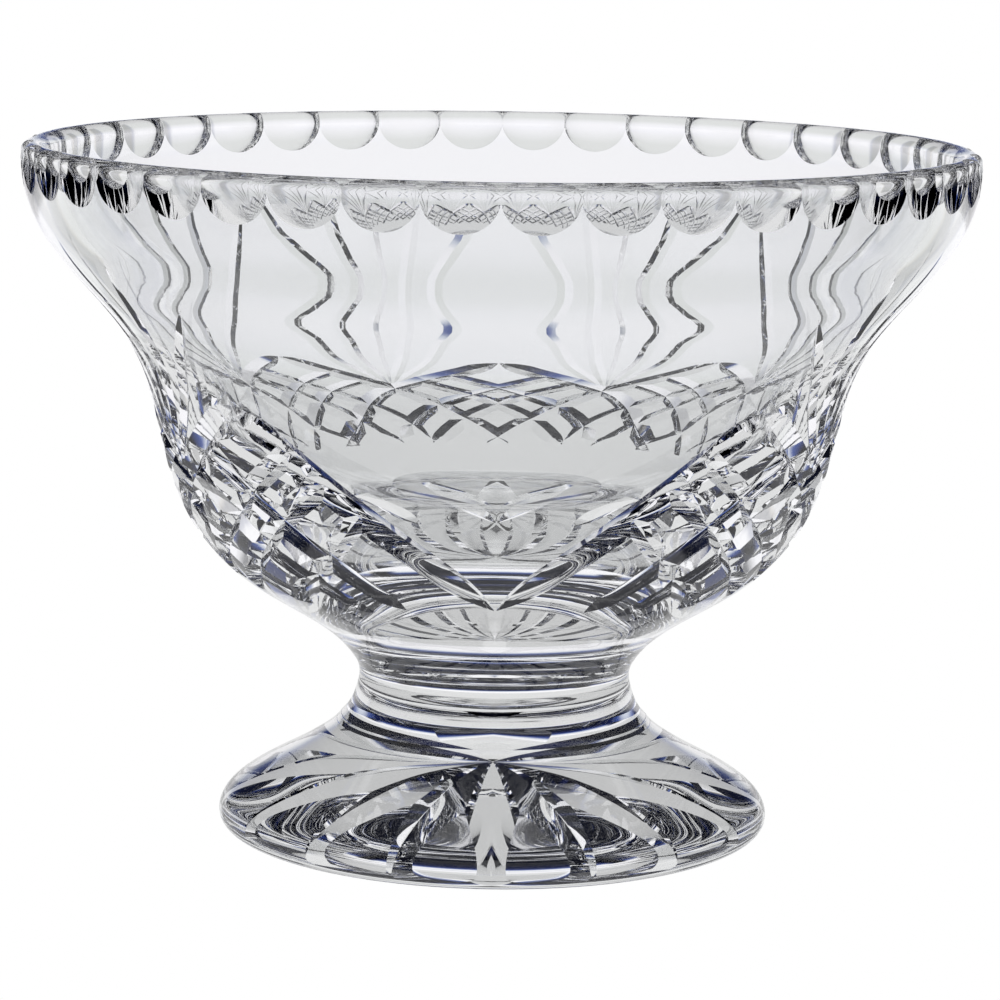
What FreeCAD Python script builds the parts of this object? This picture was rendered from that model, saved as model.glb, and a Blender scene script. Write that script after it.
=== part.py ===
import FreeCAD, Part
import math
import os
import Sketcher
from FreeCAD import Vector, Rotation, Placement

# Footed cut-crystal punch bowl, in millimetres.
# Frame: +Z up along the axis of revolution, origin at the centre of the foot's resting face.
# The body of glass is made of three gathers fused hot: the foot, the stem (neck) and the bowl.
# Each is its own solid; neighbours meet face to face on a flat round joint.

doc = FreeCAD.newDocument("punch_bowl")

# ---------------------------------------------------------------- driving sizes
sheet = doc.addObject("Spreadsheet::Sheet", "Sizes")
sheet.Label = "Sizes"

sizes = [
    ("rim_diameter", 254.0),        # outside of the lip
    ("overall_height", 184.74),     # resting face to top of the lip
    ("lip_radius", 3.4),            # half-round lip, so the wall is 6.8 at the rim
    ("foot_diameter", 148.92),
    ("foot_edge_radius", 3.5),      # rounded lower edge of the foot
    ("ring_radius", 41.7),          # crease where the stem meets the foot's dome
    ("ring_height", 29.2),
    ("stem_top_radius", 38.1),
    ("stem_top_height", 46.0),
    ("floor_radius", 31.0),         # flat floor of the hollow
    ("floor_height", 71.7),
    # thumbprint cuts round the outside of the lip: a round-edged wheel, its axle lying tangentially
    ("scallop_count", 42),
    ("scallop_height", 182.0),      # level of the wheel's axle
    ("scallop_axle_radius", 141.06),  # axle's distance from the bowl's axis
    ("scallop_wheel_radius", 17.86),
    ("scallop_edge_radius", 15.4),  # rounding across the wheel's edge
    ("scallop_half_width", 12.0),
    # star cut into the underside of the foot
    ("star_rays", 16),
    ("star_tip_radius", 73.0),
    ("star_waist_radius", 31.0),
    ("star_depth", 5.2),
    ("star_overrun", 0.5),          # how far the cutting tool starts below the resting face
]

# control points of the profile curves, as (radius, height)
outer_poles = [(38.10, 46.00), (41.74, 51.81), (53.93, 60.26), (72.12, 69.97), (85.51, 86.94), (90.79, 107.49),
               (94.86, 128.38), (108.13, 145.32), (122.50, 159.95), (127.00, 173.92), (127.00, 181.34)]
inner_poles = [(31.00, 71.70), (36.01, 73.67), (48.76, 79.54), (61.66, 88.92), (76.63, 103.16), (82.90, 119.59),
               (91.92, 135.04), (102.96, 150.07), (115.47, 163.86), (120.20, 174.95), (120.20, 181.34)]
stem_poles = [(41.70, 29.20), (39.10, 31.73), (37.02, 37.21), (35.98, 42.93), (38.10, 46.00)]
foot_poles = [(41.70, 29.20), (43.65, 26.39), (49.81, 21.97), (58.65, 16.74), (68.13, 12.01), (74.46, 7.01),
              (74.46, 3.50)]
for tag, poles in (("bowl_outer", outer_poles), ("bowl_inner", inner_poles), ("stem_side", stem_poles),
                   ("foot_dome", foot_poles)):
    for i, (radius, height) in enumerate(poles[1:-1], 1):
        sizes.append((f"{tag}_radius_{i}", radius))
        sizes.append((f"{tag}_height_{i}", height))

for row, (alias, value) in enumerate(sizes, 1):
    sheet.set(f"A{row}", alias.replace("_", " "))
    sheet.set(f"B{row}", str(value))
    sheet.setAlias(f"B{row}", alias)
doc.recompute()


def size(alias):
    return float(sheet.get(alias))


# ---------------------------------------------------------------- helpers
def origin_feature(body, role):
    for item in body.Origin.OriginFeatures:
        if item.Role == role:
            return item
    raise RuntimeError(role)


def new_body(label):
    body = doc.addObject("PartDesign::Body", label)
    body.Label = label
    return body


def new_sketch(body, name, plane="XZ_Plane", offset=None):
    sketch = body.newObject("Sketcher::SketchObject", name)
    sketch.AttachmentSupport = [(origin_feature(body, plane), "")]
    sketch.MapMode = "FlatFace"
    if offset is not None:
        sketch.AttachmentOffset = offset
    doc.recompute()
    return sketch


def bind(sketch, geo, pos, axis, expression, value, name):
    """Hold one coordinate of a point of the sketch to an expression on the sheet."""
    kind = "DistanceX" if axis == 0 else "DistanceY"
    c = sketch.addConstraint(Sketcher.Constraint(kind, -1, 1, geo, pos, value))
    sketch.renameConstraint(c, name)
    sketch.setExpression(f"Constraints.{name}", expression)


def spline(sketch, tag, poles, start, end):
    """A clamped cubic curve whose control points are held to the sheet. start and end are the expressions of the
    first and last control point."""
    n = len(poles)
    knots = [i / (n - 3.0) for i in range(n - 2)]
    curve = Part.BSplineCurve()
    curve.buildFromPolesMultsKnots([Vector(r_, z_, 0) for r_, z_ in poles], [4] + [1] * (n - 4) + [4], knots, False, 3)
    geo = sketch.addGeometry(curve, False)
    sketch.exposeInternalGeometry(geo)
    circles = [i for i in range(geo + 1, sketch.GeometryCount) if isinstance(sketch.Geometry[i], Part.Circle)]
    circles = circles[:n]
    for i, circle in enumerate(circles):
        if i == 0:
            ex = start
        elif i == n - 1:
            ex = end
        else:
            ex = (f"Sizes.{tag}_radius_{i}", f"Sizes.{tag}_height_{i}")
        bind(sketch, circle, 3, 0, ex[0], poles[i][0], f"{tag}_r{i}")
        bind(sketch, circle, 3, 1, ex[1], poles[i][1], f"{tag}_z{i}")
    return geo


def line(sketch, a, b):
    return sketch.addGeometry(Part.LineSegment(Vector(a[0], a[1], 0), Vector(b[0], b[1], 0)), False)


def join(sketch, g1, p1, g2, p2):
    sketch.addConstraint(Sketcher.Constraint("Coincident", g1, p1, g2, p2))


def relation(sketch, kind, *args):
    sketch.addConstraint(Sketcher.Constraint(kind, *args))


def revolve(body, sketch, name):
    feature = body.newObject("PartDesign::Revolution", name)
    feature.Profile = sketch
    feature.ReferenceAxis = (sketch, ["V_Axis"])
    feature.Angle = 360
    sketch.Visibility = False
    doc.recompute()
    return feature


# ---------------------------------------------------------------- bowl
bowl = new_body("bowl")
sk = new_sketch(bowl, "bowl_profile")
lip = size("lip_radius")
lip_z = size("overall_height") - lip
lip_r = size("rim_diameter") / 2 - lip
top_r, top_z = size("stem_top_radius"), size("stem_top_height")
fl_r, fl_z = size("floor_radius"), size("floor_height")
outer = spline(sk, "bowl_outer", outer_poles, ("Sizes.stem_top_radius", "Sizes.stem_top_height"),
               ("Sizes.rim_diameter / 2", "Sizes.overall_height - Sizes.lip_radius"))
inner = spline(sk, "bowl_inner", inner_poles, ("Sizes.floor_radius", "Sizes.floor_height"),
               ("Sizes.rim_diameter / 2 - 2 * Sizes.lip_radius", "Sizes.overall_height - Sizes.lip_radius"))
arc = sk.addGeometry(Part.ArcOfCircle(Part.Circle(Vector(lip_r, lip_z, 0), Vector(0, 0, 1), lip), 0, math.pi), False)
floor_line = line(sk, (fl_r, fl_z), (0, fl_z))
axis_line = line(sk, (0, fl_z), (0, top_z))
base_line = line(sk, (0, top_z), (top_r, top_z))
join(sk, arc, 1, outer, 2)
join(sk, arc, 2, inner, 2)
relation(sk, "Horizontal", arc, 3, arc, 1)
join(sk, floor_line, 1, inner, 1)
join(sk, floor_line, 2, axis_line, 1)
join(sk, axis_line, 2, base_line, 1)
join(sk, base_line, 2, outer, 1)
relation(sk, "Horizontal", floor_line)
relation(sk, "Horizontal", base_line)
relation(sk, "PointOnObject", axis_line, 1, -2)
relation(sk, "PointOnObject", axis_line, 2, -2)
doc.recompute()
blank = revolve(bowl, sk, "bowl_blank")
blank_volume = blank.Shape.Volume

# one thumbprint cut, turned about the wheel's axle, then repeated round the rim
sk = new_sketch(bowl, "scallop_wheel", "XY_Plane",
                Placement(Vector(size("scallop_axle_radius"), 0, size("scallop_height")), Rotation()))
sk.setExpression("AttachmentOffset.Base.x", "Sizes.scallop_axle_radius")
sk.setExpression("AttachmentOffset.Base.z", "Sizes.scallop_height")
wheel, edge, half = size("scallop_wheel_radius"), size("scallop_edge_radius"), size("scallop_half_width")
drop = edge - math.sqrt(edge ** 2 - half ** 2)
side = wheel - drop
arc = sk.addGeometry(Part.ArcOfCircle(Part.Circle(Vector(-(wheel - edge), 0, 0), Vector(0, 0, 1), edge),
                                      math.pi - math.asin(half / edge), math.pi + math.asin(half / edge)), False)
lower = line(sk, (-side, -half), (0, -half))
axle = line(sk, (0, -half), (0, half))
upper = line(sk, (0, half), (-side, half))
join(sk, arc, 2, lower, 1)
join(sk, lower, 2, axle, 1)
join(sk, axle, 2, upper, 1)
join(sk, upper, 2, arc, 1)
relation(sk, "Horizontal", lower)
relation(sk, "Horizontal", upper)
relation(sk, "PointOnObject", axle, 1, -2)
relation(sk, "PointOnObject", axle, 2, -2)
relation(sk, "PointOnObject", arc, 3, -1)
c = sk.addConstraint(Sketcher.Constraint("Radius", arc, edge))
sk.renameConstraint(c, "edge_radius")
sk.setExpression("Constraints.edge_radius", "Sizes.scallop_edge_radius")
bind(sk, arc, 3, 0, "-(Sizes.scallop_wheel_radius - Sizes.scallop_edge_radius)", -(wheel - edge), "wheel_centre")
bind(sk, axle, 2, 1, "Sizes.scallop_half_width", half, "half_width")
bind(sk, axle, 1, 1, "-Sizes.scallop_half_width", -half, "half_width_below")
doc.recompute()
cut = bowl.newObject("PartDesign::Groove", "scallop")
cut.Profile = sk
cut.ReferenceAxis = (sk, ["V_Axis"])
cut.Angle = 360
sk.Visibility = False
doc.recompute()
if len(cut.Shape.Faces) <= len(blank.Shape.Faces):
    raise RuntimeError("the scallop wheel cuts nothing")
ring = bowl.newObject("PartDesign::PolarPattern", "scallop_ring")
ring.Originals = [cut]
ring.Axis = (origin_feature(bowl, "Z_Axis"), [""])
ring.Angle = 360
ring.Occurrences = int(size("scallop_count"))
ring.setExpression("Occurrences", "Sizes.scallop_count")
bowl.Tip = ring
doc.recompute()
removed = blank_volume - bowl.Shape.Volume
print("scallops remove", round(removed, 1))
if removed < 100 * size("scallop_count"):
    raise RuntimeError("the scallop ring cuts too little")

# ---------------------------------------------------------------- stem
stem = new_body("stem")
sk = new_sketch(stem, "stem_profile")
ring_r, ring_z = size("ring_radius"), size("ring_height")
side_curve = spline(sk, "stem_side", stem_poles, ("Sizes.ring_radius", "Sizes.ring_height"),
                    ("Sizes.stem_top_radius", "Sizes.stem_top_height"))
head = line(sk, (top_r, top_z), (0, top_z))
core = line(sk, (0, top_z), (0, ring_z))
seat = line(sk, (0, ring_z), (ring_r, ring_z))
join(sk, side_curve, 2, head, 1)
join(sk, head, 2, core, 1)
join(sk, core, 2, seat, 1)
join(sk, seat, 2, side_curve, 1)
relation(sk, "Horizontal", head)
relation(sk, "Horizontal", seat)
relation(sk, "PointOnObject", core, 1, -2)
relation(sk, "PointOnObject", core, 2, -2)
doc.recompute()
revolve(stem, sk, "stem_blank")

# ---------------------------------------------------------------- foot
foot = new_body("foot")
sk = new_sketch(foot, "foot_profile")
er = size("foot_edge_radius")
fr = size("foot_diameter") / 2
dome = spline(sk, "foot_dome", foot_poles, ("Sizes.ring_radius", "Sizes.ring_height"),
              ("Sizes.foot_diameter / 2", "Sizes.foot_edge_radius"))
arc = sk.addGeometry(Part.ArcOfCircle(Part.Circle(Vector(fr - er, er, 0), Vector(0, 0, 1), er), -math.pi / 2, 0), False)
rest = line(sk, (fr - er, 0), (0, 0))
core = line(sk, (0, 0), (0, ring_z))
seat = line(sk, (0, ring_z), (ring_r, ring_z))
join(sk, arc, 2, dome, 2)
join(sk, arc, 1, rest, 1)
join(sk, rest, 2, core, 1)
join(sk, core, 2, seat, 1)
join(sk, seat, 2, dome, 1)
relation(sk, "Horizontal", arc, 3, arc, 2)
relation(sk, "Vertical", arc, 3, arc, 1)
relation(sk, "Coincident", core, 1, -1, 1)
relation(sk, "Horizontal", rest)
relation(sk, "Horizontal", seat)
relation(sk, "PointOnObject", core, 2, -2)
doc.recompute()
foot_blank = revolve(foot, sk, "foot_blank")
foot_volume = foot_blank.Shape.Volume

# sixteen-ray star: a star-shaped outline lofted to one point above the middle of the foot
n = int(size("star_rays"))
over = size("star_overrun")
grow = (size("star_depth") + over) / size("star_depth")
sk = new_sketch(foot, "star_outline", "XY_Plane", Placement(Vector(0, 0, -over), Rotation()))
sk.setExpression("AttachmentOffset.Base.z", "-Sizes.star_overrun")
tip_r, waist_r = size("star_tip_radius") * grow, size("star_waist_radius") * grow
pts = []
for i in range(2 * n):
    a = math.pi * i / n
    rad = tip_r if i % 2 == 0 else waist_r
    pts.append((rad * math.cos(a), rad * math.sin(a)))
lines = [line(sk, pts[i], pts[(i + 1) % (2 * n)]) for i in range(2 * n)]
for i in range(2 * n):
    join(sk, lines[i], 2, lines[(i + 1) % (2 * n)], 1)
scale = "(Sizes.star_depth + Sizes.star_overrun) / Sizes.star_depth"
for i in range(2 * n):
    a = 180.0 * i / n
    which = "Sizes.star_tip_radius" if i % 2 == 0 else "Sizes.star_waist_radius"
    for axis, fn, coord in ((0, "cos", pts[i][0]), (1, "sin", pts[i][1])):
        if abs(coord) < 1e-9:
            relation(sk, "PointOnObject", lines[i], 1, -2 if axis == 0 else -1)
        else:
            bind(sk, lines[i], 1, axis, f"{which} * {scale} * {fn}({a} deg)", coord, f"p{i}_{'xy'[axis]}")
doc.recompute()
tip = new_sketch(foot, "star_point", "XY_Plane", Placement(Vector(0, 0, size("star_depth")), Rotation()))
tip.setExpression("AttachmentOffset.Base.z", "Sizes.star_depth")
tip.addGeometry(Part.Point(Vector(0, 0, 0)), False)
join(tip, 0, 1, -1, 1)
doc.recompute()
star = foot.newObject("PartDesign::SubtractiveLoft", "star_cut")
star.Profile = sk
star.Sections = [(tip, ["Vertex1"])]
star.Ruled = True
star.Closed = False
sk.Visibility = False
doc.recompute()
foot.Tip = star
doc.recompute()
removed = foot_volume - foot.Shape.Volume
print("star removes", round(removed, 1))
if removed < 1000:
    raise RuntimeError("the star cuts nothing")

# ---------------------------------------------------------------- checks and export
for item in doc.Objects:
    bad = [s for s in item.State if s in ("Invalid", "Error")]
    if bad:
        raise RuntimeError(f"{item.Name}: {bad}")
    if item.isDerivedFrom("Sketcher::SketchObject"):
        print(item.Name, "solver", item.solve(), "fully constrained", item.FullyConstrained)

os.makedirs("parts", exist_ok=True)
for body in (bowl, stem, foot):
    shape = body.Shape
    if shape.isNull() or not shape.isValid() or len(shape.Solids) != 1:
        raise RuntimeError(f"{body.Label}: bad shape")
    box = shape.BoundBox
    print(body.Label, "volume mm3", round(shape.Volume, 1), "faces", len(shape.Faces),
          [round(v, 2) for v in (box.XMin, box.YMin, box.ZMin, box.XMax, box.YMax, box.ZMax)])
    shape.exportStep(f"parts/{body.Label}.step")
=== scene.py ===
"""Cut crystal punch bowl: bowl, stem and foot in heavy clear glass, with a scalloped rim,
crosshatched diamonds, fans of fine rays and a star cut under the foot."""

import math

import bpy
import numpy as np
from mathutils import Matrix, Vector, kdtree


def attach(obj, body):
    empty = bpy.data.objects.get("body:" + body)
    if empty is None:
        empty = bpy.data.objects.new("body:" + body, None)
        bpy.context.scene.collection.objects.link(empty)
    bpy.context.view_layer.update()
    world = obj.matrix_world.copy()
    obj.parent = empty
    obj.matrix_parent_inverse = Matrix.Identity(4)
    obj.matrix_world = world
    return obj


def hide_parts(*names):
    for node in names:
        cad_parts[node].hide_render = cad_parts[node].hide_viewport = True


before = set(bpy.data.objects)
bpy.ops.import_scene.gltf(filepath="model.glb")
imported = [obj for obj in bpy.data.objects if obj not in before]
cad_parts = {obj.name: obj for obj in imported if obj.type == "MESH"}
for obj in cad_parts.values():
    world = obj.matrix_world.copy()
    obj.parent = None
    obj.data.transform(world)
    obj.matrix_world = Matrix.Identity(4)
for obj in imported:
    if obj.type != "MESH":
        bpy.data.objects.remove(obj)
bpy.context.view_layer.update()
SCN = bpy.context.scene

SEG = 336          # shared by 42 scallops, 16 star rays and 8 panels
MM = 0.001
TAU = 2.0 * math.pi

# ------------------------------------------------------------------ profiles (r, z) in millimetres
OUTER = [(38.10, 46.00), (41.74, 51.81), (53.93, 60.26), (72.12, 69.97), (85.51, 86.94), (90.79, 107.49),
         (94.86, 128.38), (108.13, 145.32), (122.50, 159.95), (127.00, 173.92), (127.00, 181.34)]
# inner wall: lean from vertical in degrees, at heights from the lip down to the flat floor
LEAN = [(181.34, 5.9), (177, 12.9), (172, 19.3), (167, 26.7), (162, 35.1), (158, 39.3), (154, 39.9), (150, 38.4), (146, 38.0),
        (141, 34.9), (136, 34.4), (131, 32.9), (126, 29.0), (120, 24.5), (114, 24.0), (107, 30.3), (100, 40.0), (93, 47.0),
        (86, 53.2), (80, 59.4), (75, 65.6), (70, 71.7)]
STEM = [(41.70, 29.20), (39.10, 31.73), (37.02, 37.21), (35.98, 42.93), (38.10, 46.00)]
DOME = [(41.70, 29.20), (43.65, 26.39), (49.81, 21.97), (58.65, 16.74), (68.13, 12.01), (74.46, 7.01), (74.46, 3.50)]
LIP_CENTRE, LIP_RADIUS = (123.6, 181.34), 3.4
FOOT_EDGE_CENTRE, FOOT_EDGE_RADIUS = (70.96, 3.5), 3.5
FLOOR_R, FLOOR_Z = 31.0, 71.7
INNER_TOP_R, INNER_TOP_Z = 120.2, 181.34


def bspline(poles, count, degree=3):
    """Evenly spaced points of a clamped uniform B-spline."""
    poles = np.array(poles, float)
    n = len(poles)
    knots = np.concatenate([np.zeros(degree), np.linspace(0.0, 1.0, n - degree + 1), np.ones(degree)])

    def at(u):
        k = min(max(int(np.searchsorted(knots, u, side="right")) - 1, degree), n - 1)
        d = [poles[j + k - degree].copy() for j in range(degree + 1)]
        for r in range(1, degree + 1):
            for j in range(degree, r - 1, -1):
                a, b = knots[j + k - degree], knots[j + 1 + k - r]
                t = (u - a) / (b - a)
                d[j] = (1.0 - t) * d[j - 1] + t * d[j]
        return d[degree]

    dense = np.array([at(u) for u in np.linspace(0.0, 1.0, 900)])
    arc = np.concatenate([[0.0], np.cumsum(np.linalg.norm(np.diff(dense, axis=0), axis=1))])
    s = np.linspace(0.0, arc[-1], count)
    return np.stack([np.interp(s, arc, dense[:, 0]), np.interp(s, arc, dense[:, 1])], axis=1)


def half_circle(centre, radius, a0, a1, count):
    a = np.radians(np.linspace(a0, a1, count))
    return np.stack([centre[0] + radius * np.cos(a), centre[1] + radius * np.sin(a)], axis=1)


def join(*runs):
    out = [runs[0]]
    for run in runs[1:]:
        out.append(run[1:])
    return np.concatenate(out)


OUT_FINE = bspline(OUTER, 1600)


def inner_wall(count):
    """The hollow's side from the floor up to the lip, evenly spaced."""
    z = np.linspace(INNER_TOP_Z, FLOOR_Z, 3000)
    lean = np.radians(np.interp(z, [a for a, _ in LEAN][::-1], [b for _, b in LEAN][::-1]))
    kernel = np.hanning(121)
    kernel /= kernel.sum()
    lean = np.convolve(np.pad(lean, 60, mode="edge"), kernel, mode="valid")
    r = INNER_TOP_R - np.concatenate([[0.0], np.cumsum(0.5 * (np.tan(lean[1:]) + np.tan(lean[:-1])) * -np.diff(z))])
    # closes the last fraction of a millimetre onto the floor's edge
    fade = np.clip((100.0 - z) / (100.0 - FLOOR_Z), 0.0, 1.0)
    r = r + (FLOOR_R - r[-1]) * fade
    line = np.stack([r, z], axis=1)[::-1]
    arc = np.concatenate([[0.0], np.cumsum(np.linalg.norm(np.diff(line, axis=0), axis=1))])
    s = np.linspace(0.0, arc[-1], count)
    return np.stack([np.interp(s, arc, line[:, 0]), np.interp(s, arc, line[:, 1])], axis=1)


def outer_radius(z):
    return np.interp(z, OUT_FINE[:, 1], OUT_FINE[:, 0])


def outer_frame(phi, z):
    """A point of the outer wall, its outward normal and the direction around the wall. phi in degrees from the front.
    """
    p = math.radians(phi)
    e = 0.15
    r = float(outer_radius(z))
    slope = float(outer_radius(z + e) - outer_radius(z - e)) / (2.0 * e)
    radial = np.array([math.sin(p), -math.cos(p), 0.0])
    around = np.array([math.cos(p), math.sin(p), 0.0])
    n = radial - slope * np.array([0.0, 0.0, 1.0])
    n /= np.linalg.norm(n)
    return radial * r + np.array([0.0, 0.0, z]), n, around


# ------------------------------------------------------------------ mesh helpers
BODY, JOINT, SCALLOP, GROOVE = 0, 1, 2, 3


def make_object(name, verts_mm, faces, mats, indices=0):
    mesh = bpy.data.meshes.new(name)
    mesh.from_pydata([tuple(v) for v in np.asarray(verts_mm) * MM], [], faces)
    for m in mats:
        mesh.materials.append(m)
    if np.isscalar(indices):
        indices = [indices] * len(faces)
    mesh.polygons.foreach_set("material_index", indices)
    mesh.update()
    obj = bpy.data.objects.new(name, mesh)
    SCN.collection.objects.link(obj)
    return obj


def lathe(name, profile, mats, cap_low=BODY, cap_high=BODY):
    """A solid turned about Z. profile runs from its first cap to its last cap with the glass on its left."""
    ang = np.arange(SEG) * TAU / SEG - math.pi / 2.0
    cs, sn = np.cos(ang), np.sin(ang)
    rows = len(profile)
    verts = np.zeros((rows * SEG, 3))
    for i, (r, z) in enumerate(profile):
        verts[i * SEG:(i + 1) * SEG] = np.stack([r * cs, r * sn, np.full(SEG, z)], axis=1)
    faces, idx = [], []
    for i in range(rows - 1):
        a, b = i * SEG, (i + 1) * SEG
        for j in range(SEG):
            k = (j + 1) % SEG
            faces.append((a + j, a + k, b + k, b + j))
            idx.append(BODY)
    faces.append(tuple(reversed(range(SEG))))
    idx.append(cap_low)
    faces.append(tuple(range((rows - 1) * SEG, rows * SEG)))
    idx.append(cap_high)
    return make_object(name, verts, faces, mats, idx)


def outward(verts, faces):
    """Turns a closed cutter's faces outward."""
    v = np.asarray(verts, float)
    vol = 0.0
    for f in faces:
        a = v[f[0]]
        for i in range(1, len(f) - 1):
            vol += np.dot(a, np.cross(v[f[i]], v[f[i + 1]]))
    return faces if vol > 0 else [tuple(reversed(f)) for f in faces]


def merge(parts):
    verts, faces, base = [], [], 0
    for v, f in parts:
        f = outward(v, f)
        verts.append(np.asarray(v, float))
        faces += [tuple(i + base for i in face) for face in f]
        base += len(v)
    return np.concatenate(verts), faces


def cut(obj, cutter):
    mod = obj.modifiers.new("cut", "BOOLEAN")
    mod.operation = "DIFFERENCE"
    mod.solver = "MANIFOLD"
    mod.object = cutter
    try:
        mod.material_mode = "INDEX"
    except Exception:
        pass
    deps = bpy.context.evaluated_depsgraph_get()
    mesh = bpy.data.meshes.new_from_object(obj.evaluated_get(deps), preserve_all_data_layers=True, depsgraph=deps)
    before = len(obj.data.polygons)
    obj.modifiers.remove(mod)
    old = obj.data
    obj.data = mesh
    bpy.data.meshes.remove(old)
    data = cutter.data
    bpy.data.objects.remove(cutter)
    bpy.data.meshes.remove(data)
    if len(mesh.polygons) < 200:
        raise RuntimeError("a cut removed the whole piece")
    return before, len(mesh.polygons)


# ------------------------------------------------------------------ cutters
def smooth_path(points, step=1.4):
    """A smooth line through (phi, z) points, as evenly spaced samples with their length along it."""
    pts = np.array(points, float)
    if len(pts) == 2:
        dense = pts[0] + np.linspace(0, 1, 200)[:, None] * (pts[1] - pts[0])
    else:
        chord = np.linalg.norm(np.diff(pts * np.array([1.5, 1.0]), axis=0), axis=1)
        t = np.concatenate([[0], np.cumsum(np.sqrt(chord))])
        m = np.zeros_like(pts)
        d = np.diff(pts, axis=0) / np.diff(t)[:, None]
        m[1:-1] = (d[:-1] * np.diff(t)[1:, None] + d[1:] * np.diff(t)[:-1, None]) / (t[2:] - t[:-2])[:, None]
        m[0] = 1.5 * d[0] - 0.5 * m[1]
        m[-1] = 1.5 * d[-1] - 0.5 * m[-2]
        dense = []
        for i in range(len(pts) - 1):
            h = t[i + 1] - t[i]
            for u in np.linspace(0, 1, 90, endpoint=(i == len(pts) - 2)):
                h00, h10 = 2 * u**3 - 3 * u**2 + 1, u**3 - 2 * u**2 + u
                h01, h11 = -2 * u**3 + 3 * u**2, u**3 - u**2
                dense.append(h00 * pts[i] + h10 * h * m[i] + h01 * pts[i + 1] + h11 * h * m[i + 1])
        dense = np.array(dense)
    xyz = np.array([outer_frame(p, z)[0] for p, z in dense])
    arc = np.concatenate([[0], np.cumsum(np.linalg.norm(np.diff(xyz, axis=0), axis=1))])
    n = max(int(arc[-1] / step), 6)
    s = np.linspace(0, arc[-1], n + 1)
    return np.stack([np.interp(s, arc, dense[:, 0]), np.interp(s, arc, dense[:, 1])], axis=1), s, arc[-1]


def taper(s, total, start, end, power=2.0):
    """1 in the middle of a groove, falling to 0 at its ends like a wheel lifting out."""
    f = np.ones_like(s)
    if start > 0:
        u = np.clip(1 - s / start, 0, 1)
        f = np.minimum(f, 1 - u**power)
    if end > 0:
        u = np.clip(1 - (total - s) / end, 0, 1)
        f = np.minimum(f, 1 - u**power)
    return f


def groove(points, half_width, tilt, start, end, clearance=2.0, power=2.0, width_fn=None, step=1.4):
    """A V-section cutter that follows a line on the outer wall."""
    path, s, total = smooth_path(points, step)
    f = taper(s, total, start, end, power)
    if width_fn is not None:
        f = f * width_fn(s / total)
    k = math.tan(math.radians(tilt))
    frames = [outer_frame(p, z) for p, z in path]
    pos = np.array([fr[0] for fr in frames])
    nrm = np.array([fr[1] for fr in frames])
    tan = np.gradient(pos, axis=0)
    tan /= np.linalg.norm(tan, axis=1)[:, None]
    side = np.cross(nrm, tan)
    side /= np.linalg.norm(side, axis=1)[:, None]
    verts = []
    for i in range(len(pos)):
        depth = half_width * k * f[i] - 0.12 * (1 - f[i])
        half = (depth + clearance) / k
        verts += [pos[i] - nrm[i] * depth, pos[i] + nrm[i] * clearance + side[i] * half, pos[i] + nrm[i] * clearance - side[i] * half]
    faces = []
    n = len(pos)
    for i in range(n - 1):
        a, b = 3 * i, 3 * (i + 1)
        for j in range(3):
            q = (j + 1) % 3
            faces.append((a + j, b + j, b + q, a + q))
    faces.append((0, 1, 2))
    faces.append((3 * n - 1, 3 * n - 2, 3 * n - 3))
    return np.array(verts), faces


def turn(part, degrees, mirror=False):
    v, f = part
    v = np.array(v)
    if mirror:
        v = v * np.array([-1.0, 1.0, 1.0])
    a = math.radians(degrees)
    rot = np.array([[math.cos(a), -math.sin(a), 0], [math.sin(a), math.cos(a), 0], [0, 0, 1]])
    return v @ rot.T, f


def wheel_scallop(angle):
    """The round-edged wheel that cuts one rim scallop, its axle tangential to the rim. angle from the front, degrees."""
    axle, zc, radius, edge, half = 141.06, 182.0, 17.86, 15.4, 12.0
    off = radius - edge
    th = np.concatenate([np.linspace(180 - 62, 180 + 62, 61), np.linspace(180 + 78, 180 + 282, 14)])
    th = np.radians(th)
    tt = np.linspace(-half, half, 29)
    p = math.radians(angle)
    radial = np.array([math.sin(p), -math.cos(p), 0.0])
    around = np.array([math.cos(p), math.sin(p), 0.0])
    up = np.array([0.0, 0.0, 1.0])
    verts = []
    for t in tt:
        rho = off + math.sqrt(edge * edge - t * t)
        for a in th:
            verts.append(radial * (axle + rho * math.cos(a)) + around * t + up * (zc + rho * math.sin(a)))
    m = len(th)
    faces = []
    for i in range(len(tt) - 1):
        for j in range(m):
            k = (j + 1) % m
            faces.append((i * m + j, i * m + k, (i + 1) * m + k, (i + 1) * m + j))
    faces.append(tuple(reversed(range(m))))
    faces.append(tuple(range((len(tt) - 1) * m, len(tt) * m)))
    return np.array(verts), faces


def scallop_normal(p):
    """Outward normal of the glass on a rim scallop, at a point in millimetres."""
    phi = math.degrees(math.atan2(p[0], -p[1]))
    k = round(phi / (360.0 / 42) - 0.5) + 0.5
    a = math.radians(k * 360.0 / 42)
    radial = np.array([math.sin(a), -math.cos(a), 0.0])
    around = np.array([math.cos(a), math.sin(a), 0.0])
    x = float(np.dot(p, radial)) - 141.06
    t = float(np.dot(p, around))
    z = p[2] - 182.0
    rho = math.hypot(x, z)
    off = 17.86 - 15.4
    n = around * t + (rho - off) * (radial * x + np.array([0, 0, 1.0]) * z) / max(rho, 1e-6)
    return -n / np.linalg.norm(n)


# ------------------------------------------------------------------ materials
def new_material(name):
    m = bpy.data.materials.new(name)
    m.use_nodes = True
    m.node_tree.nodes.clear()
    return m, m.node_tree.nodes, m.node_tree.links


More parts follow.
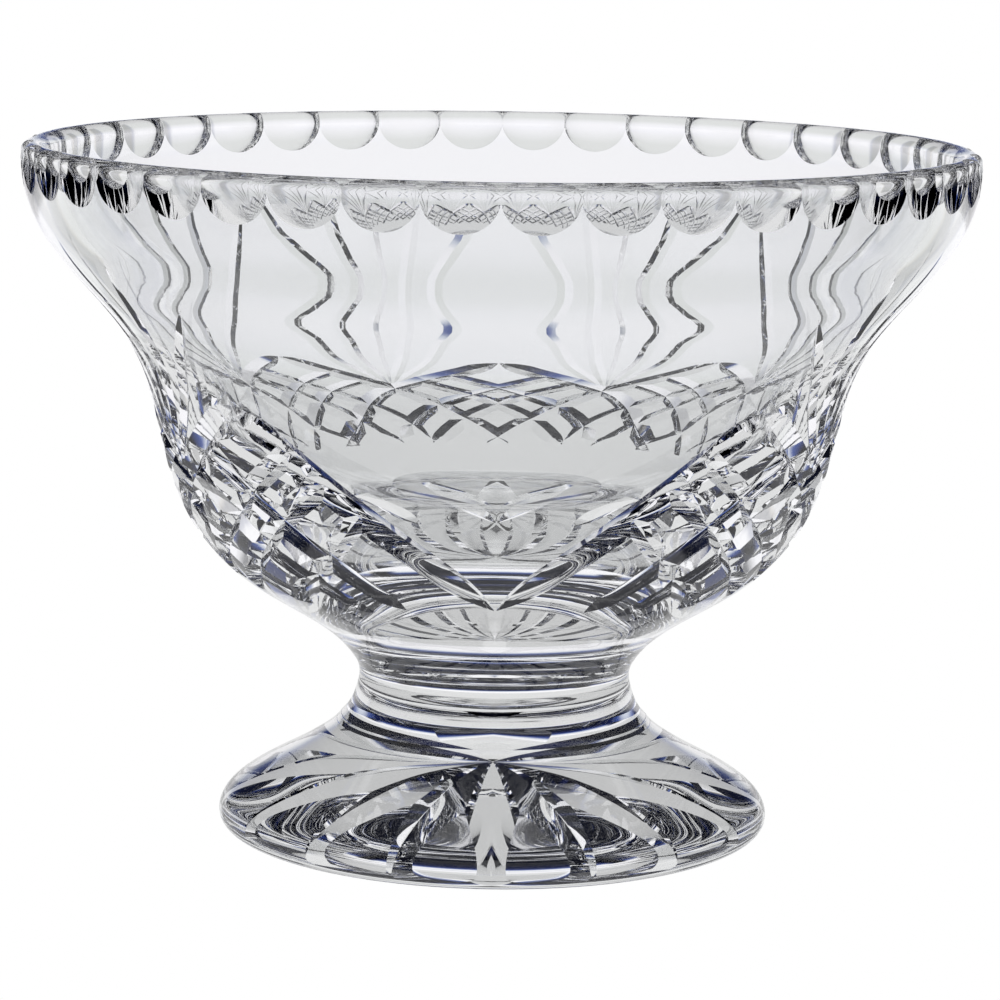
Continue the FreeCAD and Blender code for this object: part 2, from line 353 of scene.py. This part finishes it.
def crystal(name, tint_a, tint_b, ior, rough_lo, rough_hi, wave_scale, wave, grit=0.0):
    """Lead crystal: clear, with a faint drift of tint, polish marks in its roughness and a slow wave left by hand finishing."""
    m, nodes, links = new_material(name)
    out = nodes.new("ShaderNodeOutputMaterial")
    bsdf = nodes.new("ShaderNodeBsdfPrincipled")
    bsdf.inputs["Transmission Weight"].default_value = 1.0
    bsdf.inputs["IOR"].default_value = ior
    bsdf.inputs["Metallic"].default_value = 0.0
    links.new(bsdf.outputs[0], out.inputs["Surface"])
    co = nodes.new("ShaderNodeTexCoord")
    drift = nodes.new("ShaderNodeTexNoise")
    drift.inputs["Scale"].default_value = 9.0
    drift.inputs["Detail"].default_value = 2.0
    links.new(co.outputs["Object"], drift.inputs["Vector"])
    ramp = nodes.new("ShaderNodeValToRGB")
    ramp.color_ramp.elements[0].position = 0.3
    ramp.color_ramp.elements[0].color = (*tint_a, 1)
    ramp.color_ramp.elements[1].position = 0.7
    ramp.color_ramp.elements[1].color = (*tint_b, 1)
    links.new(drift.outputs["Fac"], ramp.inputs["Fac"])
    links.new(ramp.outputs["Color"], bsdf.inputs["Base Color"])
    polish = nodes.new("ShaderNodeTexNoise")
    polish.inputs["Scale"].default_value = 60.0
    polish.inputs["Detail"].default_value = 4.0
    links.new(co.outputs["Object"], polish.inputs["Vector"])
    rng = nodes.new("ShaderNodeMapRange")
    rng.inputs["From Min"].default_value = 0.35
    rng.inputs["From Max"].default_value = 0.75
    rng.inputs["To Min"].default_value = rough_lo
    rng.inputs["To Max"].default_value = rough_hi
    links.new(polish.outputs["Fac"], rng.inputs["Value"])
    links.new(rng.outputs["Result"], bsdf.inputs["Roughness"])
    if wave > 0:
        slow = nodes.new("ShaderNodeTexNoise")
        slow.inputs["Scale"].default_value = wave_scale
        slow.inputs["Detail"].default_value = 1.0
        slow.inputs["Roughness"].default_value = 0.3
        links.new(co.outputs["Object"], slow.inputs["Vector"])
        bump = nodes.new("ShaderNodeBump")
        bump.inputs["Strength"].default_value = 1.0
        bump.inputs["Distance"].default_value = wave
        links.new(slow.outputs["Fac"], bump.inputs["Height"])
        links.new(bump.outputs["Normal"], bsdf.inputs["Normal"])
    return m


def fused_joint():
    """The plane where two gathers of glass were fused: the same glass on both sides, so light goes straight through."""
    m, nodes, links = new_material("fused_joint")
    out = nodes.new("ShaderNodeOutputMaterial")
    clear = nodes.new("ShaderNodeBsdfTransparent")
    clear.inputs["Color"].default_value = (1, 1, 1, 1)
    links.new(clear.outputs[0], out.inputs["Surface"])
    return m


M_BODY = crystal("crystal_polished", (0.893, 0.902, 0.906), (0.905, 0.912, 0.915), 1.55, 0.0, 0.003, 18.0, 0.00002)
M_SCAL = crystal("crystal_scallop", (0.905, 0.905, 0.920), (0.915, 0.915, 0.925), 1.36, 0.010, 0.060, 40.0, 0.00001)
M_CUT = crystal("crystal_cut", (0.893, 0.902, 0.906), (0.905, 0.912, 0.915), 1.55, 0.0, 0.010, 120.0, 0.00001)
M_JOINT = fused_joint()
M_FAN = crystal("crystal_fan_cut", (0.905, 0.908, 0.920), (0.915, 0.918, 0.925), 1.49, 0.02, 0.08, 150.0, 0.00005)
MATS = [M_BODY, M_JOINT, M_SCAL, M_CUT, M_FAN]
FAN = 4


# ------------------------------------------------------------------ normals
def finish_normals(obj, profile, sharp_deg=14.0):
    """Smooth turned surfaces get their exact normals, scallops theirs, and grooves keep crisp edges."""
    mesh = obj.data
    nl, npoly, ne = len(mesh.loops), len(mesh.polygons), len(mesh.edges)
    co = np.zeros(len(mesh.vertices) * 3)
    mesh.vertices.foreach_get("co", co)
    co = co.reshape(-1, 3) / MM
    vi = np.zeros(nl, int)
    mesh.loops.foreach_get("vertex_index", vi)
    ei = np.zeros(nl, int)
    mesh.loops.foreach_get("edge_index", ei)
    tot = np.zeros(npoly, int)
    mesh.polygons.foreach_get("loop_total", tot)
    pn = np.zeros(npoly * 3)
    mesh.polygons.foreach_get("normal", pn)
    pn = pn.reshape(-1, 3)
    mi = np.zeros(npoly, int)
    mesh.polygons.foreach_get("material_index", mi)
    lp = np.repeat(np.arange(npoly), tot)
    order = np.argsort(ei, kind="stable")
    es, ps = ei[order], lp[order]
    first = np.flatnonzero(np.r_[True, es[1:] != es[:-1]])
    count = np.diff(np.r_[first, len(es)])
    sharp = np.ones(ne, bool)
    two = first[count == 2]
    a, b = ps[two], ps[two + 1]
    cosang = np.einsum("ij,ij->i", pn[a], pn[b])
    smooth_pair = (mi[a] == mi[b]) & ((cosang > math.cos(math.radians(sharp_deg))) | (mi[a] == BODY) & (cosang > 0.5))
    sharp[es[two]] = ~smooth_pair
    att = mesh.attributes.get("sharp_edge") or mesh.attributes.new("sharp_edge", "BOOLEAN", "EDGE")
    att.data.foreach_set("value", sharp)
    mesh.polygons.foreach_set("use_smooth", np.ones(npoly, bool))

    seg = np.diff(profile, axis=0)
    seg /= np.linalg.norm(seg, axis=1)[:, None]
    tang = np.zeros_like(profile)
    tang[0], tang[-1] = seg[0], seg[-1]
    tang[1:-1] = seg[:-1] + seg[1:]
    tang /= np.linalg.norm(tang, axis=1)[:, None]
    pnorm = np.stack([tang[:, 1], -tang[:, 0]], axis=1)
    tree = kdtree.KDTree(len(profile))
    for i, (r, z) in enumerate(profile):
        tree.insert((r, z, 0.0), i)
    tree.balance()
    normals = np.zeros((nl, 3))
    cache = {}
    body_loops = np.flatnonzero(mi[lp] == BODY)
    for li in body_loops:
        v = vi[li]
        n = cache.get(v)
        if n is None:
            x, y, z = co[v]
            r = math.hypot(x, y)
            _, i, _ = tree.find((r, z, 0.0))
            nr, nz = pnorm[i]
            n = (nr * x / r, nr * y / r, nz) if r > 1e-6 else (0.0, 0.0, 1.0)
            cache[v] = n
        normals[li] = n
    # a flat cap or floor inside the body keeps its own face normal
    flat = np.abs(pn[lp[body_loops], 2]) > 0.99999
    normals[body_loops[flat]] = pn[lp[body_loops[flat]]]
    cache = {}
    for li in np.flatnonzero(mi[lp] == SCALLOP):
        v = vi[li]
        n = cache.get(v)
        if n is None:
            n = scallop_normal(co[v])
            cache[v] = n
        normals[li] = n
    mesh.normals_split_custom_set([tuple(n) for n in normals])
    mesh.update()


# ------------------------------------------------------------------ the bowl
def build_bowl():
    outer = bspline(OUTER, 84)
    lip = half_circle(LIP_CENTRE, LIP_RADIUS, 0, 180, 15)
    inner = inner_wall(72)[::-1]
    profile = join(outer, lip, inner)
    fine = join(bspline(OUTER, 2400), half_circle(LIP_CENTRE, LIP_RADIUS, 0, 180, 300), inner_wall(2400)[::-1])
    bowl = lathe("bowl_cut_crystal", profile, MATS, cap_low=JOINT, cap_high=BODY)

    log = []
    step = 360.0 / 42
    for odd in (0, 1):
        parts = [wheel_scallop((k + 0.5) * step) for k in range(odd, 42, 2)]
        v, f = merge(parts)
        log.append(cut(bowl, make_object("scallops", v, f, MATS, SCALLOP)))

    # crosshatched diamonds, one every 45 degrees except the clear panel at the front.
    # Lines are (degrees from the diamond's centre, height); the other family is their mirror image.
    major = dict(half_width=4.0, tilt=40.0)
    minor = dict(half_width=3.2, tilt=39.0)
    first_clear = [(0.0, 123.0), (-22.5, 97.7), (-45.0, 72.5)]
    first = [(0.0, 123.0), (-11.5, 110.4), (-22.5, 97.7), (-30.7, 85.6), (-36.0, 78.4), (-48.0, 69.5)]
    second = [(10.8, 112.6), (1.6, 102.2), (-5.4, 93.2), (-14.4, 84.2), (-21.0, 77.2), (-27.0, 71.5)]
    third = [(17.2, 105.8), (5.4, 92.6), (0.0, 86.0), (-9.2, 76.8), (-18.2, 69.5)]
    fourth = [(23.4, 99.4), (14.3, 84.9), (9.0, 78.0), (-3.0, 69.5)]
    centres = [45.0 * k for k in range(1, 8)]

    for mirror in (False, True):
        sign = -1.0 if mirror else 1.0
        parts = []
        for c in centres:
            # the side that runs down beside the clear panel is a straight pointed mitre
            clear = abs(c - 45.0) < 1 if not mirror else abs(c - 315.0) < 1
            if clear:
                part = groove(first_clear, start=11, end=19, **major)
            else:
                part = groove(first, start=11, end=7, **major)
            parts.append(turn(part, c, mirror))
        v, f = merge(parts)
        log.append(cut(bowl, make_object("first_lines", v, f, MATS, GROOVE)))
        for line, kw in ((second, dict(start=4, end=9)), (third, dict(start=4, end=6))):
            parts = [turn(groove(line, **kw, **minor), c, mirror) for c in centres]
            v, f = merge(parts)
            log.append(cut(bowl, make_object("hatch_lines", v, f, MATS, GROOVE)))
        # the lower edge that no neighbour's long mitre supplies
        last = 315.0 if not mirror else 45.0
        v, f = merge([turn(groove(fourth, start=4, end=6, **minor), last, mirror)])
        log.append(cut(bowl, make_object("last_line", v, f, MATS, GROOVE)))

    # fans of five rays rising from where two diamonds touch
    outer_ray = [(0.5, 99.5), (4.2, 109.5), (8.5, 120.0), (12.3, 130.5), (16.9, 138.6), (23.0, 149.0)]
    inner_ray = [(0.2, 99.5), (2.0, 111.0), (4.3, 124.0), (6.6, 136.5), (9.7, 149.5), (12.0, 159.0)]
    centre_ray = [(0.0, 99.5), (0.0, 165.0)]
    fans = [67.5, 112.5, 157.5, 202.5, 247.5, 292.5]
    for line, flip, wide in ((outer_ray, 1, 2.3), (inner_ray, 1, 2.2), (centre_ray, 1, 2.0), (inner_ray, -1, 2.2), (outer_ray, -1, 2.3)):
        pts = [(flip * a, b) for a, b in line]
        parts = [turn(groove(pts, half_width=wide, tilt=25.0, start=14, end=30, step=1.6), c) for c in fans]
        v, f = merge(parts)
        log.append(cut(bowl, make_object("fan_rays", v, f, MATS, GROOVE)))
    finish_normals(bowl, fine)
    return bowl, log


def build_stem():
    profile = bspline(STEM, 30)
    stem = lathe("stem_crystal", profile, MATS, cap_low=JOINT, cap_high=JOINT)
    finish_normals(stem, bspline(STEM, 1200))
    return stem


def build_foot():
    dome = bspline(DOME, 120)[::-1]
    edge = half_circle(FOOT_EDGE_CENTRE, FOOT_EDGE_RADIUS, -90, 0, 14)
    profile = join(edge, dome)
    foot = lathe("foot_star_cut", profile, MATS, cap_low=BODY, cap_high=JOINT)
    log = []
    tip, wide, k = 74.0, 8.0, 1.0 / 1.5
    for i in range(16):
        th = math.radians(-90.0 + 22.5 * i)
        d = np.array([math.cos(th), math.sin(th), 0.0])
        s = np.array([-math.sin(th), math.cos(th), 0.0])
        verts = []
        rs = np.concatenate([[-0.6], np.linspace(3.0, 76.0, 30)])
        for r in rs:
            depth = wide * k * (1.0 - (max(r, 0.0) / tip) ** 2)
            if r > tip:
                depth = -0.05 - 0.05 * (r - tip)
            half = (depth + 1.5) / k
            verts += [d * r + np.array([0, 0, depth]), d * r + s * half - np.array([0, 0, 1.5]), d * r - s * half - np.array([0, 0, 1.5])]
        faces = []
        n = len(rs)
        for a in range(n - 1):
            p, q = 3 * a, 3 * (a + 1)
            for j in range(3):
                w = (j + 1) % 3
                faces.append((p + j, q + j, q + w, p + w))
        faces.append((0, 1, 2))
        faces.append((3 * n - 1, 3 * n - 2, 3 * n - 3))
        v, f = merge([(np.array(verts), faces)])
        log.append(cut(foot, make_object("star_ray", v, f, MATS, GROOVE)))
    finish_normals(foot, join(half_circle(FOOT_EDGE_CENTRE, FOOT_EDGE_RADIUS, -90, 0, 300), bspline(DOME, 2400)[::-1]))
    return foot, log


bowl, bowl_log = build_bowl()
stem = build_stem()
foot, foot_log = build_foot()
print("bowl cuts", bowl_log)
print("foot cuts", foot_log)
for piece, node in ((bowl, "bowl"), (stem, "stem"), (foot, "foot")):
    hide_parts(node)
    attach(piece, "root")
    if piece.name.startswith("bowl"):
        for face in piece.data.polygons:
            if face.material_index == GROOVE and face.center.z > 0.109:
                face.material_index = FAN
    print(piece.name, len(piece.data.polygons), "faces", sum(len(p.vertices) - 2 for p in piece.data.polygons), "tris")


# ------------------------------------------------------------------ stage, light and camera
def build_floor():
    """The bright sweep the bowl stands on, with a painted contact shadow: its glow is turned down right under the foot.
    """
    ring = [(0.35 * math.cos(a), 0.35 * math.sin(a), -0.0006) for a in np.linspace(0, TAU, 96, endpoint=False)]
    mesh = bpy.data.meshes.new("floor")
    mesh.from_pydata(ring, [], [tuple(range(96))])
    obj = bpy.data.objects.new("floor", mesh)
    SCN.collection.objects.link(obj)
    m, nodes, links = new_material("pale_floor")
    out = nodes.new("ShaderNodeOutputMaterial")
    emit = nodes.new("ShaderNodeEmission")
    emit.inputs["Color"].default_value = (1, 1, 1, 1)
    co = nodes.new("ShaderNodeTexCoord")
    away = nodes.new("ShaderNodeVectorMath")
    away.operation = "LENGTH"
    links.new(co.outputs["Object"], away.inputs[0])
    # painted contact shadow: the glow falls from 0.84 to 0.66 under the foot, where the foot itself hides it
    painted_contact_shadow = nodes.new("ShaderNodeMapRange")
    painted_contact_shadow.interpolation_type = "SMOOTHSTEP"
    painted_contact_shadow.inputs["From Min"].default_value = 0.064
    painted_contact_shadow.inputs["From Max"].default_value = 0.0735
    painted_contact_shadow.inputs["To Min"].default_value = 0.66
    painted_contact_shadow.inputs["To Max"].default_value = 0.84
    links.new(away.outputs["Value"], painted_contact_shadow.inputs["Value"])
    # seen directly the sweep is burnt out to plain white; through the glass it is a little darker
    path = nodes.new("ShaderNodeLightPath")
    shown = nodes.new("ShaderNodeMath")
    shown.operation = "MAXIMUM"
    links.new(painted_contact_shadow.outputs["Result"], shown.inputs[0])
    links.new(path.outputs["Is Camera Ray"], shown.inputs[1])
    links.new(shown.outputs[0], emit.inputs["Strength"])
    links.new(emit.outputs[0], out.inputs["Surface"])
    mesh.materials.append(m)
    return obj


WHITE, BLACK = (1, 1, 1), (0, 0, 0)
DARK, BLUE, WARM = (0.006, 0.007, 0.012), (0.05, 0.08, 0.22), (0.62, 0.56, 0.46)
# how bright the studio is at each height above the horizon, in degrees
HEIGHTS = [(-90, (0.78, 0.79, 0.78)), (-20, (0.78, 0.79, 0.78)), (-10, (0.95, 0.945, 0.97)), (-5, (0.985, 0.975, 1.0)),
           (2, (0.985, 0.975, 1.0)), (5, (0.62, 0.66, 0.76)), (8, (0.05, 0.09, 0.32)), (13, (0.010, 0.015, 0.065)),
           (24, (0.005, 0.006, 0.012)), (90, (0.006, 0.006, 0.010))]
# dark flags standing round the table, by angle from +Y to either side
FLAGS = [(0, WHITE), (25, WHITE), (27, BLUE), (28.5, DARK), (33, DARK), (34.5, WARM), (36, WHITE), (54, WHITE), (56.5, BLUE),
         (59, DARK), (75, DARK), (77.5, WARM), (79, WHITE), (101, WHITE), (103, BLUE), (105, DARK), (119, DARK), (121, WARM),
         (123, WHITE), (147, WHITE), (149, BLUE), (151, DARK), (165, DARK), (167, WARM), (169, WHITE), (180, WHITE)]
# how much the flags count at each height
FLAG_HEIGHTS = [(-90, (0.35, 0.35, 0.35)), (-6.2, (0.35, 0.35, 0.35)), (-5.2, BLACK), (1, BLACK), (3, WHITE), (20, WHITE), (30, BLACK)]


def build_world():
    """A white sweep and backdrop with a dark room above them, and dark flags standing between the soft boxes."""
    w = bpy.data.worlds.new("studio")
    SCN.world = w
    w.use_nodes = True
    nodes, links = w.node_tree.nodes, w.node_tree.links
    nodes.clear()
    out = nodes.new("ShaderNodeOutputWorld")
    bg = nodes.new("ShaderNodeBackground")
    co = nodes.new("ShaderNodeTexCoord")
    sep = nodes.new("ShaderNodeSeparateXYZ")
    links.new(co.outputs["Generated"], sep.inputs[0])

    def math_node(operation, *sources):
        n = nodes.new("ShaderNodeMath")
        n.operation = operation
        for i, source in enumerate(sources):
            links.new(source, n.inputs[i])
        return n.outputs[0]

    def ramp(source, stops, low, high):
        rng = nodes.new("ShaderNodeMapRange")
        rng.inputs["From Min"].default_value = math.radians(low)
        rng.inputs["From Max"].default_value = math.radians(high)
        links.new(source, rng.inputs["Value"])
        colours = nodes.new("ShaderNodeValToRGB")
        cr = colours.color_ramp
        while len(cr.elements) > 1:
            cr.elements.remove(cr.elements[-1])
        for i, (deg, col) in enumerate(stops):
            pos = (deg - low) / (high - low)
            e = cr.elements[0] if i == 0 else cr.elements.new(pos)
            e.position = pos
            e.color = (*col, 1)
        links.new(rng.outputs["Result"], colours.inputs["Fac"])
        return colours.outputs["Color"]

    height = math_node("ARCSINE", sep.outputs["Z"])
    around = math_node("ABSOLUTE", math_node("ARCTAN2", sep.outputs["X"], sep.outputs["Y"]))
    mix = nodes.new("ShaderNodeMix")
    mix.data_type = "RGBA"
    mix.blend_type = "MULTIPLY"
    links.new(ramp(height, FLAG_HEIGHTS, -90, 90), mix.inputs["Factor"])
    links.new(ramp(height, HEIGHTS, -90, 90), mix.inputs[6])
    links.new(ramp(around, FLAGS, 0, 180), mix.inputs[7])
    links.new(mix.outputs[2], bg.inputs["Color"])
    bg.inputs["Strength"].default_value = 1.12
    # the backdrop itself is plain white wherever it is seen directly
    backdrop = nodes.new("ShaderNodeBackground")
    backdrop.inputs["Color"].default_value = (1, 1, 1, 1)
    path = nodes.new("ShaderNodeLightPath")
    choose = nodes.new("ShaderNodeMixShader")
    links.new(path.outputs["Is Camera Ray"], choose.inputs[0])
    links.new(bg.outputs[0], choose.inputs[1])
    links.new(backdrop.outputs[0], choose.inputs[2])
    links.new(choose.outputs[0], out.inputs["Surface"])
    return w


def build_camera():
    data = bpy.data.cameras.new("camera")
    cam = bpy.data.objects.new("camera", data)
    SCN.collection.objects.link(cam)
    data.sensor_width = 36.0
    data.lens = 134.38
    data.clip_start, data.clip_end = 0.05, 20.0
    yaw, pitch, roll = math.radians(-0.0502), math.radians(90.0 - 9.763), math.radians(0.862)
    rot = Matrix.Rotation(yaw, 4, "Z") @ Matrix.Rotation(pitch, 4, "X") @ Matrix.Rotation(roll, 4, "Z")
    cam.matrix_world = Matrix.Translation((0.0, -0.992248, 0.25918)) @ rot
    SCN.camera = cam
    return cam


build_floor()
build_world()
build_camera()
SCN.view_settings.view_transform = "Standard"
SCN.view_settings.look = "None"
SCN.view_settings.exposure = 0.0
SCN.view_settings.gamma = 1.0
cyc = SCN.cycles
cyc.max_bounces = 12
cyc.transmission_bounces = 12
cyc.glossy_bounces = 12
cyc.transparent_max_bounces = 24
cyc.diffuse_bounces = 2
cyc.caustics_reflective = True
cyc.caustics_refractive = True
cyc.blur_glossy = 0.0
